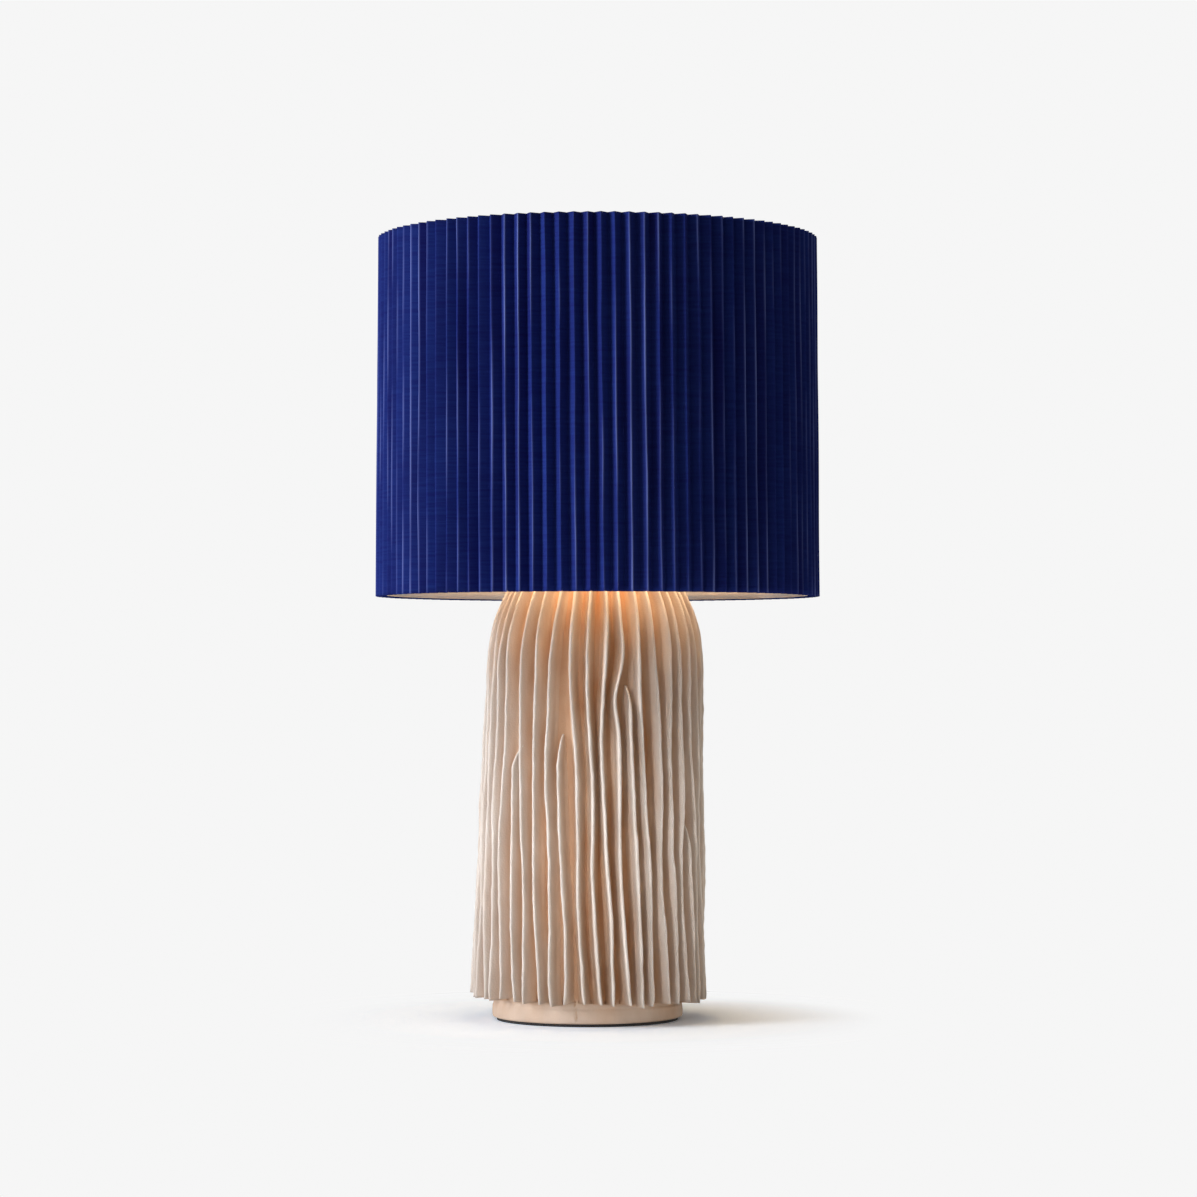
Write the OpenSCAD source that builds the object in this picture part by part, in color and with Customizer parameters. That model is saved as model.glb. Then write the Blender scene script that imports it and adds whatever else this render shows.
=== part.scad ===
// Pleated table lamp: a finned clay base, a lampholder on a through tube and a pleated drum shade.
// Millimetres, +Z up, front towards -Y.
// The origin is on the floor, on the plumb axis that the shade, the tube and the bulb share.

/* [Shade] */
// Diameter over the pleat crests at the bottom rim
shade_d = 300; // [260:1:340]
// How much narrower the top rim is than the bottom rim
shade_taper = 3; // [0:1:12]
// Height of the pleated cover
shade_h = 242; // [200:1:280]
// Height of the fitting's collar above the bottom rim
fitter_drop = 86; // [60:1:110]
// Number of pleats round the cover
pleat_count = 102; // [80:2:120]
// Depth of a pleat from crest to valley
pleat_depth = 6; // [4:0.5:8]
// Angle through which the pleats drift from the bottom rim to the top
pleat_drift = 0.8; // [0:0.1:2]
// Thickness of the pleated cloth
cloth_t = 0.5; // [0.4:0.1:0.8]
// Thickness of the smooth liner behind the pleats
liner_t = 0.9; // [0.6:0.1:1.5]
// Distance that the liner stops short of the cover's edges
liner_inset = 1; // [0:0.5:3]
// Wire diameter of the top and bottom rings
ring_wire_d = 3.5; // [3:0.5:5]
// Height of each ring's centre inside the liner's edge
ring_inset = 3; // [2.5:0.5:6]
// Wire diameter of the fitting's arms
arm_wire_d = 3.5; // [2.5:0.5:4.5]
// Number of arms from the collar to the bottom ring
arm_count = 3; // [3:1:4]
// Length of each arm's end that is welded into the collar's edge
arm_weld = 2; // [1:0.5:2.5]
// Thickness of the fitting's collar
collar_t = 1.5; // [1:0.5:3]
// Width of the collar beyond the rings that clamp it
collar_margin = 5; // [4:0.5:8]

/* [Clay base] */
// Height of the clay body's top seat above the floor
base_h = 319.3; // [270:0.1:360]
// Diameter over the fins at the foot
body_low_d = 159; // [145:1:175]
// Diameter over the fins below the shoulder
body_high_d = 146; // [130:1:158]
// Rise of the domed shoulder, were it to close at its top
dome_h = 90; // [70:1:110]
// Lean of the hand-built body from plumb
body_lean = 1.2; // [0:0.1:2]
// Thickness of the clay wall
wall_t = 6; // [4:0.5:9]
// Radius of the flat seat on top of the dome
seat_r = 22; // [20:1:26]
// Thickness of the clay under the seat
seat_t = 8; // [5:1:12]
// Diameter of the foot ring
foot_d = 128; // [116:1:134]
// Width of the foot ring
foot_ring_w = 10; // [7:1:14]
// Height at which the wall flares out over the foot ring
foot_step_z = 13; // [12:0.5:16]
// Depth of the hollow under the clay floor
foot_recess = 20; // [16:1:28]
// Thickness of the clay floor
floor_t = 7; // [5:1:12]
// Rounding of the foot ring's lower edge
foot_chamfer = 1.2; // [0.5:0.1:2]

/* [Fins] */
// Number of clay fins round the body
fin_count = 48; // [40:1:52]
// Height of a fin off the body's wall
fin_depth = 11; // [8:0.5:13]
// Thickness of a fin at its free edge
fin_t = 2; // [1.6:0.1:3]
// Thickness of a fin where it meets the wall
fin_root_t = 3.2; // [2:0.1:4]
// Depth to which each fin is worked into the wall
fin_sink = 1.2; // [0.8:0.1:2]
// Mean height of the fins' ragged lower ends
fin_low_z = 15; // [15:0.5:22]
// Raggedness of the lower ends, either way
fin_ragged = 1.6; // [0:0.1:2]
// Angle through which the fins sweep round from the shoulder down to the foot
fin_sweep = 9.3; // [0:0.1:12]
// Angle through which each fin waves to either side
fin_wave = 0.7; // [0:0.1:1.2]
// Length of one wave of a fin
fin_wave_len = 190; // [120:5:260]
// Radius at which the fins die out on top of the dome
fin_end_r = 33; // [30:1:44]

/* [Tube and fasteners] */
// Diameter of the through tube
tube_d = 10; // [9:0.5:11]
// Bore of the tube
tube_bore = 7; // [6:0.5:8]
// Length of the tube below the bottom nut
tube_tail = 2.5; // [1:0.5:6]
// Width of the nuts across flats
nut_af = 14; // [13:0.5:17]
// Height of the nuts
nut_h = 4; // [3:0.5:6]
// Radius of the steel plate under the clay floor
plate_r = 30; // [22:1:36]
// Thickness of the steel plate
plate_t = 2.5; // [1.5:0.5:4]
// Outer radius of the toothed washer
tooth_washer_r = 9.2; // [9:0.1:11]
// Thickness of the toothed washer
tooth_washer_t = 1; // [0.6:0.1:1.6]
// Number of teeth on the toothed washer
tooth_count = 14; // [10:1:20]
// Thickness of the soft washer under the vase cap
seal_t = 1.5; // [1:0.5:3]
// Thickness of the vase cap's metal
vase_cap_t = 1.2; // [0.8:0.1:2]
// Depth of the vase cap's rim below its plate
vase_rim_h = 1; // [0.5:0.1:1.4]
// Thickness of the foot pad
pad_t = 2; // [1.5:0.5:4]
// Distance of the pad's edge inside the foot ring
pad_inset = 3; // [2:0.5:6]

/* [Cord inlet] */
// Height of the inlet's centre above the floor
inlet_z = 8.5; // [8:0.5:10]
// Bore of the inlet bush
bush_bore = 6.2; // [5.2:0.1:6.6]
// Wall of the inlet bush
bush_wall = 1; // [0.8:0.1:1.2]
// Width of the bush's flange beyond its body
bush_flange_w = 0.9; // [0.6:0.1:1]
// Thickness of the bush's flange and of its inner lip
bush_flange_t = 1.5; // [1:0.5:2]

/* [Lampholder] */
// Diameter over the outside thread that carries the shade rings
holder_d = 40; // [39:0.5:43]
// Height of the whole lampholder
holder_h = 62; // [58:1:70]
// Height of the collar's underside above the lampholder's foot
fitting_up = 44; // [41:1:46]
// Pitch of the outside thread
holder_pitch = 2.5; // [2:0.5:3]
// Depth of the outside thread
holder_thread_t = 0.8; // [0.5:0.1:1]
// Wall of the threaded sleeve behind its thread
sleeve_wall = 2.2; // [1.6:0.1:2.4]
// Height at which the cap meets the sleeve
cap_h = 24; // [23:0.5:26]
// Radius of the cap's neck
neck_r = 9; // [8:0.5:11]
// Height of the cap's neck
neck_h = 9; // [7:0.5:9]
// Wall of the cap
cap_wall = 2; // [1.5:0.1:2.2]
// Length of the tube inside the cap
tube_grip = 11; // [8:0.5:11]
// Diameter of the grub screw in the neck
grub_d = 4; // [3:0.5:4]
// Outer radius of the shade rings
clamp_r = 26; // [24:0.5:30]
// Thickness of a shade ring's flange
clamp_flange_t = 2.5; // [2:0.5:4]
// Height of a shade ring
clamp_h = 7; // [5:0.5:8]
// Number of finger grips round a shade ring
grip_count = 18; // [12:1:24]
// Thickness of the screw shell's metal
shell_t = 0.4; // [0.3:0.1:0.6]
// Height of the spring contact
contact_h = 2.2; // [1.6:0.1:3]
// Diameter of the terminal screws' shanks
terminal_d = 3; // [2.5:0.5:3.5]
// Distance of the terminal screws from the axis
terminal_r = 10; // [9:0.5:11]

/* [Bulb] */
// Diameter of the bulb's globe
bulb_d = 60; // [55:1:68]
// Length of the bulb from its tip to the top of the globe
bulb_len = 107; // [100:1:120]
// Diameter over the crests of the bulb's thread
lamp_thread_d = 26.2; // [26:0.1:26.5]
// Depth of the bulb's thread
lamp_thread_t = 1; // [0.8:0.1:1.1]
// Pitch of the bulb's thread
lamp_pitch = 3.629; // [3.3:0.001:3.8]
// Length of the bulb's metal cap from the tip
lamp_cap_h = 25; // [25:0.5:27]
// Thickness of the opal globe
globe_t = 1.2; // [0.8:0.1:2]
// Wall of the bulb's plastic body
bulb_wall = 1.6; // [1.2:0.1:2]
// Thickness of the board that carries the light
board_t = 1.6; // [1:0.1:2]

/* [Clearances] */
// Gap between pieces that turn or slide on each other
run_gap = 0.1; // [0.05:0.01:0.15]
// Gap between fixed pieces that slip into each other
slip_gap = 0.15; // [0.1:0.05:0.3]
// Gap between the soft cover and its neighbours
soft_gap = 0.3; // [0.2:0.1:0.6]
// Gap round the tube in the clay, which evens out the hand-built holes
clay_gap = 0.8; // [0.5:0.1:1.5]
// Gap round the bulb in its screw shell
lamp_gap = 0.3; // [0.2:0.05:0.4]

/* [Hidden] */
$fn = 64;

// Overshoot of a cut past the face it opens
cut = 1;
// Steps in the dome's outline
dome_steps = 12;

tube_r = tube_d / 2;
nut_bore_r = tube_r + slip_gap;

// The clay body stands on its foot ring and leans, so that its seat comes under the plumb axis.
foot_x = -base_h * tan(body_lean);
foot_r = foot_d / 2;
foot_in_r = foot_r - foot_ring_w;
core_low_r = body_low_d / 2 - fin_depth;
core_high_r = body_high_d / 2 - fin_depth;
shoulder_z = base_h - dome_h * sqrt(1 - pow(seat_r / core_high_r, 2));
floor_z = pad_t + foot_recess;
cavity_z = floor_z + floor_t;
// Run of the wall's flare over the foot ring, at a slope of one in one, from inside the ring's edge
flare_in = 2;
flare_h = core_low_r - foot_r + flare_in;
// Overlap of the foot ring with the wall that it is part of
foot_join = 5;

// Radius of the clay wall at height z of the leaning body
function wall_r(z) = core_low_r + (core_high_r - core_low_r) * z / shoulder_z;

// Points up the dome, for a dome of radius r and rise h, between two angles
function dome(r, h, from, to) = [
    for (k = [0 : dome_steps])
        let (a = from + (to - from) * k / dome_steps)
        [r * cos(a), shoulder_z + h * sin(a)]
];

// The lampholder stands on the stack over the seat.
cap_plate_z = base_h + seal_t;
cap_nut_z = cap_plate_z + vase_cap_t;
holder_z = cap_nut_z + nut_h;
holder_r = holder_d / 2;
holder_root_r = holder_r - holder_thread_t;
sleeve_in_r = holder_root_r - sleeve_wall;
cap_proud = 0.5;
cap_r = holder_r + cap_proud;
cap_in_r = cap_r - cap_wall;
// The porcelain core stands on a ledge inside the cap.
ledge_drop = 7;
ledge_z = holder_z + cap_h - ledge_drop;
ledge_w = 1.5;
ledge_r = sleeve_in_r - ledge_w;
holder_top_z = holder_z + holder_h;
// A lip at the sleeve's top holds the core down and leaves room round the bulb.
lip_t = 2;
lip_room = 2.1;
lip_r = lamp_thread_d / 2 + lip_room;

// The bulb sinks past the lampholder's lip, and the socket's floor lies under its tip.
bulb_sink = 3.5;
lamp_r = lamp_thread_d / 2;
lamp_root_r = lamp_r - lamp_thread_t;
bulb_z = holder_top_z - lamp_cap_h - bulb_sink;
socket_floor_z = bulb_z - lamp_gap - contact_h;
// The thread starts above the insulator, and the cap's metal runs on over it.
lamp_thread_up = 8.5;
lamp_thread_z = bulb_z + lamp_thread_up;
lamp_turns = 4;
shell_in_r = lamp_r + lamp_gap;
shell_out_r = shell_in_r + shell_t;
shell_drop = 0.5;
shell_top_z = bulb_z + lamp_cap_h - shell_drop;

// The bulb's plastic body flares from the neck to the globe's open edge.
bulb_r = bulb_d / 2;
globe_edge_a = 35;
globe_z = bulb_z + bulb_len - bulb_r;
body_top_z = globe_z - bulb_r * sin(globe_edge_a);
body_top_r = bulb_r * cos(globe_edge_a);
lamp_metal_t = 0.5;
neck_proud = 0.4;
bulb_neck_r = lamp_r + neck_proud;
bulb_neck_h = 4;
bulb_neck_z = bulb_z + lamp_cap_h + bulb_neck_h;
spigot_r = lamp_root_r - lamp_metal_t - slip_gap;
spigot_h = 9;
board_seat = 2;
board_r = body_top_r - board_seat - 1;

// The shade hangs from the collar between the two shade rings.
collar_z = holder_z + fitting_up;
collar_in_r = holder_r + 0.8;
collar_r = clamp_r + collar_margin;
shade_z = collar_z - fitter_drop;
crest_r = shade_d / 2;
shade_scale = (shade_d - shade_taper) / shade_d;
half_pitch = PI * crest_r / pleat_count;
cloth_radial = cloth_t * sqrt(pow(half_pitch, 2) + pow(pleat_depth, 2)) / half_pitch;
valley_r = crest_r - pleat_depth;
liner_r = (valley_r - cloth_radial) * cos(180 / pleat_count) - soft_gap;
ring_wire_r = ring_wire_d / 2;
low_ring_up = liner_inset + ring_inset;
high_ring_up = shade_h - liner_inset - ring_inset;

// Outer radius of the liner at a height above the bottom rim
function liner_at(up) = liner_r * (1 - (1 - shade_scale) * up / shade_h);

// Centre radius of a ring at a height above the bottom rim
function ring_at(up) = liner_at(up) - liner_t - ring_wire_r - slip_gap;

// Points of a rounded thread drawn as separate ridges, from height z upwards
function ridges(root, crest, pitch, z, turns) = [
    for (k = [0 : turns - 1])
        each [
            [root, z + (k + 0.12) * pitch],
            [crest, z + (k + 0.38) * pitch],
            [crest, z + (k + 0.62) * pitch],
            [root, z + (k + 0.88) * pitch]
        ]
];

// A list of points in the opposite order
function reversed(points) = [for (k = [len(points) - 1 : -1 : 0]) points[k]];

// Foot pad

module foot_pad() {
    color("#202022")
        translate([foot_x, 0, 0])
            cylinder(h = pad_t, r = foot_r - pad_inset);
}

// Clay body

module leaning() {
    translate([foot_x, 0, 0]) rotate([0, body_lean, 0]) children();
}

module body_outside() {
    leaning()
        rotate_extrude()
            polygon(concat(
                [[0, foot_step_z], [foot_r - flare_in, foot_step_z]],
                [[wall_r(foot_step_z + flare_h), foot_step_z + flare_h]],
                dome(core_high_r, dome_h, 0, 90)
            ));
    translate([foot_x, 0, 0])
        rotate_extrude()
            polygon([
                [foot_in_r - cut, pad_t],
                [foot_r - foot_chamfer, pad_t],
                [foot_r, pad_t + foot_chamfer],
                [foot_r, foot_step_z + foot_join],
                [foot_in_r - cut, foot_step_z + foot_join]
            ]);
}

module body_hollow() {
    inside_r = core_high_r - wall_t;
    inside_h = dome_h - wall_t;
    roof_z = base_h - seat_t;
    leaning()
        rotate_extrude()
            polygon(concat(
                [[0, cavity_z], [wall_r(cavity_z) - wall_t, cavity_z]],
                dome(inside_r, inside_h, 0, asin((roof_z - shoulder_z) / inside_h)),
                [[0, roof_z]]
            ));
}

module ceramic_core() {
    color("#b9987c")
        difference() {
            body_outside();
            body_hollow();
            // The seat is cut level, across the lean.
            translate([0, 0, base_h]) cylinder(h = dome_h, r = core_high_r);
            // Hollow inside the foot ring
            translate([foot_x, 0, -cut]) cylinder(h = floor_z + cut, r = foot_in_r);
            // Plumb holes for the tube, through the floor and the seat
            translate([0, 0, floor_z - cut]) cylinder(h = base_h, r = tube_r + clay_gap);
            // Cord inlet through the back of the foot ring
            translate([foot_x, 0, inlet_z])
                rotate([-90, 0, 0])
                    cylinder(h = foot_r + cut, r = bush_bore / 2 + bush_wall + slip_gap);
        }
}

// Clay fins: each is a slab swept up the wall and over the dome

// A steady irregular value between -1 and 1 for fin i
function uneven(i, seed) = sin(i * 137.5 + seed * 71) * 0.6 + sin(i * 61 + seed * 29) * 0.4;

// Fins that stop short of the dome: index from the front, height of the top end, and the angle
// by which the free edge leans over there
short_fins = [[-2, 192, 0], [3, 225, -1], [8, 137, -2], [-6, 184, 1.5], [15, 205, -2], [-20, 150, 2]];
// Number of fins on either side that close in over a short fin, by how much of their spacing,
// and the height over which they do
short_reach = 3;
short_close = 1 / 3;
short_blend = 35;
// Share of its height that a short fin keeps at its top end
short_keep = 0.25;
// Places where a fin was pushed aside: index, height, angle and half height
pushed = [[2, 216, -3.2, 15], [2, 245, 1.2, 14], [-10, 160, 2.5, 18], [19, 120, -2.5, 16]];
// Shifts of the fins' bearings and swells of their heights
fin_shift = 0.8;
fin_swell = 0.05;
fin_swell_len = 120;
// Power by which the sweep quickens towards the foot, and its turn at the shoulder
sweep_power = 1.5;
sweep_top = -2.9;
// Loss of a fin's height where it dies out on the dome
dome_loss = 0.55;
fin_spans = 12;
dome_spans = 4;

function fin_low(i) = fin_low_z + fin_ragged * uneven(i, 3);

// From 0 to 1 while z passes a short fin's top end
function passing(z, top) = let (t = min(1, max(0, (z - top) / (2 * short_blend) + 0.5))) t * t * (3 - 2 * t);

// Step count from short fin s round to fin i, either way round
function steps_from(s, i) = (i - s + 1.5 * fin_count) % fin_count - fin_count / 2;

// Angle by which fin i closes in over the ends of the short fins beside it
function closing(i, z) = [
    for (s = short_fins)
        let (n = steps_from(s[0], i))
        if (n != 0 && abs(n) <= short_reach)
            -sign(n) * short_close * 360 / fin_count
                * (1 - (abs(n) - 1) / short_reach) * passing(z, s[1])
];

function sum(list) = len(list) == 0 ? 0 : list * [for (v = list) 1];

// Angle by which a short fin's free edge leans over in its last stretch
function leaning_end(i, z) = [
    for (s = short_fins)
        if (steps_from(s[0], i) == 0)
            s[2] * pow(min(1, max(0, (z - s[1]) / short_blend + 1)), 3)
];

// Angle by which fin i was pushed aside at height z
function pushing(i, z) = [
    for (p = pushed)
        if (steps_from(p[0], i) == 0)
            p[2] * exp(-pow((z - p[1]) / p[3], 2))
];

// Bearing of fin i at height z
function fin_bearing(i, z) =
    -90 + 360 * i / fin_count + fin_shift * uneven(i, 1)
    + sweep_top + fin_sweep * pow(max(0, 1 - z / shoulder_z), sweep_power)
    + fin_wave * sin(360 * z / fin_wave_len + 180 * uneven(i, 2))
    + sum(closing(i, z)) + sum(pushing(i, z));

// Height of fin i off the wall, which swells and thins along the fin
function fin_height(i, z) =
    fin_depth * (1 + fin_swell * sin(360 * z / fin_swell_len + 180 * uneven(i, 4)));

// Stations along fin i: [wall radius, wall height, tip radius, tip height, bearing, tip's lean]
function wall_stations(i, top) = [
    for (k = [0 : fin_spans])
        let (z = fin_low(i) + (top - fin_low(i)) * k / fin_spans, d = fin_height(i, z))
        [wall_r(z) - fin_sink, z, wall_r(z) + d, z, fin_bearing(i, z), sum(leaning_end(i, z))]
];

function dome_stations(i) = [
    for (k = [1 : dome_spans])
        let (
            a = acos(fin_end_r / core_high_r) * k / dome_spans,
            z = shoulder_z + dome_h * sin(a),
            d = fin_height(i, z) * (1 - dome_loss * pow(k / dome_spans, 2))
        )
        [
            (core_high_r - fin_sink) * cos(a), shoulder_z + (dome_h - fin_sink) * sin(a),
            (core_high_r + d) * cos(a), shoulder_z + (dome_h + d) * sin(a),
            fin_bearing(i, z), 0
        ]
];

// The last station of a short fin runs down to the wall.
function tapered_end(stations) = [
    for (k = [0 : len(stations) - 1])
        let (s = stations[k], last = len(stations) - 1)
        k < last ? s : [s[0], s[1], s[0] + fin_sink + short_keep * fin_depth, s[1], s[4], s[5]]
];

function fin_stations(i, top) =
    top < shoulder_z
        ? tapered_end(wall_stations(i, top))
        : concat(wall_stations(i, shoulder_z), dome_stations(i));

// A point at radius r and height z on bearing a, set off sideways by s
function beside(r, z, a, s) = [r * cos(a) - s * sin(a), r * sin(a) + s * cos(a), z];

module fin(i, top) {
    stations = fin_stations(i, top);
    last = len(stations) - 1;
    points = [
        for (s = stations)
            each [
                beside(s[0], s[1], s[4], -fin_root_t / 2),
                beside(s[2], s[3], s[4] + s[5], -fin_t / 2),
                beside(s[2], s[3], s[4] + s[5], fin_t / 2),
                beside(s[0], s[1], s[4], fin_root_t / 2)
            ]
    ];
    sides = [
        for (k = [0 : last - 1], j = [0 : 3])
            let (a = 4 * k + j, b = 4 * k + (j + 1) % 4)
            each [[a, a + 4, b + 4], [a, b + 4, b]]
    ];
    ends = [[0, 1, 2], [0, 2, 3], [4 * last, 4 * last + 2, 4 * last + 1],
        [4 * last, 4 * last + 3, 4 * last + 2]];
    polyhedron(points = points, faces = concat(sides, ends));
}

// Height of the top end of the fin at index i round the body
function fin_top(i) =
    let (found = [for (s = short_fins) if ((s[0] + fin_count) % fin_count == i) s[1]])
    len(found) > 0 ? min(found[0], shoulder_z - cut) : shoulder_z;

module clay_fins() {
    color("#d3bda9")
        leaning()
            for (i = [0 : fin_count - 1]) fin(i, fin_top(i));
}

// Through tube and its fasteners

module hex_nut() {
    difference() {
        cylinder(h = nut_h, r = nut_af / 2 / cos(30), $fn = 6);
        translate([0, 0, -cut]) cylinder(h = nut_h + 2 * cut, r = nut_bore_r);
    }
}

module bottom_plate() {
    color("#8d9093")
        translate([0, 0, floor_z - plate_t])
            difference() {
                cylinder(h = plate_t, r = plate_r);
                translate([0, 0, -cut]) cylinder(h = plate_t + 2 * cut, r = nut_bore_r);
            }
}

washer_z = floor_z - plate_t - tooth_washer_t;

module toothed_washer() {
    tooth_h = 1.2;
    color("#a7a9ac")
        translate([0, 0, washer_z])
            linear_extrude(tooth_washer_t)
                difference() {
                    polygon([
                        for (k = [0 : 2 * tooth_count - 1])
                            let (r = k % 2 == 0 ? tooth_washer_r : tooth_washer_r - tooth_h)
                            [r * cos(180 * k / tooth_count), r * sin(180 * k / tooth_count)]
                    ]);
                    circle(r = nut_bore_r);
                }
}

module bottom_nut() {
    color("#b5a46a")
        translate([0, 0, washer_z - nut_h]) hex_nut();
}

module through_tube() {
    foot_end = washer_z - nut_h - tube_tail;
    length = holder_z + tube_grip - foot_end;
    color("#b5a46a")
        translate([0, 0, foot_end])
            difference() {
                cylinder(h = length, r = tube_r);
                translate([0, 0, -cut]) cylinder(h = length + 2 * cut, r = tube_bore / 2);
            }
}

module cord_bush() {
    bore_r = bush_bore / 2;
    body_r = bore_r + bush_wall;
    flange_r = body_r + bush_flange_w;
    // A lower lip inside lets the bush be pushed through from outside.
    lip_low_r = flange_r - 0.4;
    lip_z = foot_in_r - 0.5;
    color("#262628")
        translate([foot_x, 0, inlet_z])
            rotate([-90, 0, 0])
                rotate_extrude()
                    polygon([
                        [bore_r, lip_z - bush_flange_t],
                        [lip_low_r, lip_z - bush_flange_t],
                        [lip_low_r, lip_z],
                        [body_r, lip_z],
                        [body_r, foot_r],
                        [flange_r, foot_r],
                        [flange_r, foot_r + bush_flange_t],
                        [bore_r, foot_r + bush_flange_t]
                    ]);
}

module seal_washer() {
    seal_inset = 2;
    color("#2b2b2d")
        translate([0, 0, base_h])
            difference() {
                cylinder(h = seal_t, r = seat_r - seal_inset);
                translate([0, 0, -cut]) cylinder(h = seal_t + 2 * cut, r = tube_r + slip_gap);
            }
}

module vase_cap() {
    rim_r = seat_r + 2;
    edge = 0.5;
    color("#b08d57")
        rotate_extrude()
            polygon([
                [nut_bore_r, cap_plate_z],
                [rim_r, cap_plate_z],
                [rim_r, cap_plate_z - vase_rim_h],
                [rim_r + vase_cap_t, cap_plate_z - vase_rim_h],
                [rim_r + vase_cap_t, cap_plate_z + vase_cap_t - edge],
                [rim_r + vase_cap_t - edge, cap_plate_z + vase_cap_t],
                [nut_bore_r, cap_plate_z + vase_cap_t]
            ]);
}

module cap_nut() {
    color("#b5a46a")
        translate([0, 0, cap_nut_z]) hex_nut();
}

// Lampholder

module holder_cap() {
    shoulder = holder_z + neck_h;
    cone_h = 5;
    floor_z = holder_z + tube_grip + 1;
    undercut = [1, 2];
    color("#1d1d1f")
        difference() {
            rotate_extrude()
                polygon([
                    [nut_bore_r, holder_z],
                    [neck_r, holder_z],
                    [neck_r, shoulder],
                    [cap_r, shoulder + cone_h],
                    [cap_r, holder_z + cap_h],
                    [cap_in_r, holder_z + cap_h],
                    [cap_in_r, ledge_z],
                    [ledge_r, ledge_z],
                    [ledge_r - undercut[0], ledge_z - undercut[1]],
                    [neck_r, floor_z],
                    [nut_bore_r, floor_z]
                ]);
            translate([0, 0, holder_z + neck_h / 2])
                rotate([0, 90, 0]) cylinder(h = neck_r + cut, r = grub_d / 2 + slip_gap);
        }
}

module grub_screw() {
    // A slot in its outer end takes the screwdriver.
    sunk = 0.3;
    slot_w = 0.6;
    slot_h = 0.8;
    length = neck_r - tube_r - sunk;
    color("#a7a9ac")
        translate([tube_r, 0, holder_z + neck_h / 2])
            rotate([0, 90, 0])
                difference() {
                    cylinder(h = length, r = grub_d / 2);
                    translate([-slot_w / 2, -grub_d, length - slot_h])
                        cube([slot_w, 2 * grub_d, slot_h + cut]);
                }
}

// The outside thread runs from the sleeve's lower collar to its plain rim.
collar_h = 2.5;
thread_relief = 0.5;
thread_z = holder_z + cap_h + collar_h + thread_relief;
rim_h = 1.5;
thread_turns = floor((holder_top_z - rim_h - thread_z) / holder_pitch);
// Height of the sleeve's foot over the ledge inside the cap
sleeve_up = 1;

module holder_sleeve() {
    color("#1d1d1f")
        rotate_extrude()
            polygon(concat(
                [
                    [sleeve_in_r, ledge_z + sleeve_up],
                    [cap_in_r - slip_gap, ledge_z + sleeve_up],
                    [cap_in_r - slip_gap, holder_z + cap_h],
                    [cap_r, holder_z + cap_h],
                    [cap_r, thread_z - thread_relief],
                    [holder_root_r, thread_z - thread_relief]
                ],
                ridges(holder_root_r, holder_r, holder_pitch, thread_z, thread_turns),
                [
                    [holder_root_r, holder_top_z],
                    [lip_r, holder_top_z],
                    [lip_r, holder_top_z - lip_t],
                    [sleeve_in_r, holder_top_z - lip_t]
                ]
            ));
}

module at_terminals() {
    for (side = [-1, 1]) translate([side * terminal_r, 0, ledge_z]) children();
}

module holder_core() {
    top_z = holder_top_z - lip_t - slip_gap;
    terminal_hole = 6;
    color("#e9e6df")
        difference() {
            translate([0, 0, ledge_z]) cylinder(h = top_z - ledge_z, r = sleeve_in_r - slip_gap);
            translate([0, 0, socket_floor_z])
                cylinder(h = top_z, r = shell_out_r + slip_gap);
            // Hole for the contact's rivet
            translate([0, 0, ledge_z - cut])
                cylinder(h = socket_floor_z, r = terminal_d / 2 + slip_gap);
            at_terminals()
                translate([0, 0, -cut])
                    cylinder(h = terminal_hole + cut, r = terminal_d / 2 + slip_gap);
        }
}

module screw_shell() {
    root = lamp_root_r + lamp_gap;
    inside = ridges(root, shell_in_r, lamp_pitch, lamp_thread_z, lamp_turns);
    outside = ridges(root + shell_t, shell_out_r, lamp_pitch, lamp_thread_z, lamp_turns);
    // The shell is turned in under the cap's foot and widens just below the thread.
    turned_in_r = lamp_root_r - 3;
    wide_z = lamp_thread_z - 1;
    color("#c9a64f")
        rotate_extrude()
            polygon(concat(
                [
                    [turned_in_r, socket_floor_z],
                    [shell_out_r, socket_floor_z],
                    [shell_out_r, wide_z]
                ],
                outside,
                [[root + shell_t, shell_top_z], [root, shell_top_z]],
                reversed(inside),
                [
                    [shell_in_r, wide_z],
                    [shell_in_r, socket_floor_z + shell_t],
                    [turned_in_r, socket_floor_z + shell_t]
                ]
            ));
}

module centre_contact() {
    // A rivet holds a strip that is folded back over itself as a spring.
    strip_w = 6;
    strip_l = 10;
    strip_t = 0.4;
    fold_back = 1;
    color("#c9a64f") {
        translate([0, 0, ledge_z]) cylinder(h = socket_floor_z - ledge_z + strip_t, r = terminal_d / 2);
        translate([-strip_w / 2, -strip_l / 2, socket_floor_z]) cube([strip_w, strip_l, strip_t]);
        translate([-strip_w / 2, -strip_l / 2, socket_floor_z]) cube([strip_w, strip_t, contact_h]);
        translate([-strip_w / 2, -strip_l / 2, socket_floor_z + contact_h - strip_t])
            cube([strip_w, strip_l - fold_back, strip_t]);
    }
}

module terminal_screws() {
    head_h = 1.8;
    head_w = 1.3;
    shank_h = 5;
    slot = 0.8;
    color("#a7a9ac")
        at_terminals()
            difference() {
                union() {
                    cylinder(h = shank_h, r = terminal_d / 2);
                    translate([0, 0, -head_h]) cylinder(h = head_h, r = terminal_d / 2 + head_w);
                }
                translate([-terminal_d, -slot / 2, -head_h - cut])
                    cube([2 * terminal_d, slot, slot + cut]);
            }
}

// Shade rings and fitting

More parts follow.
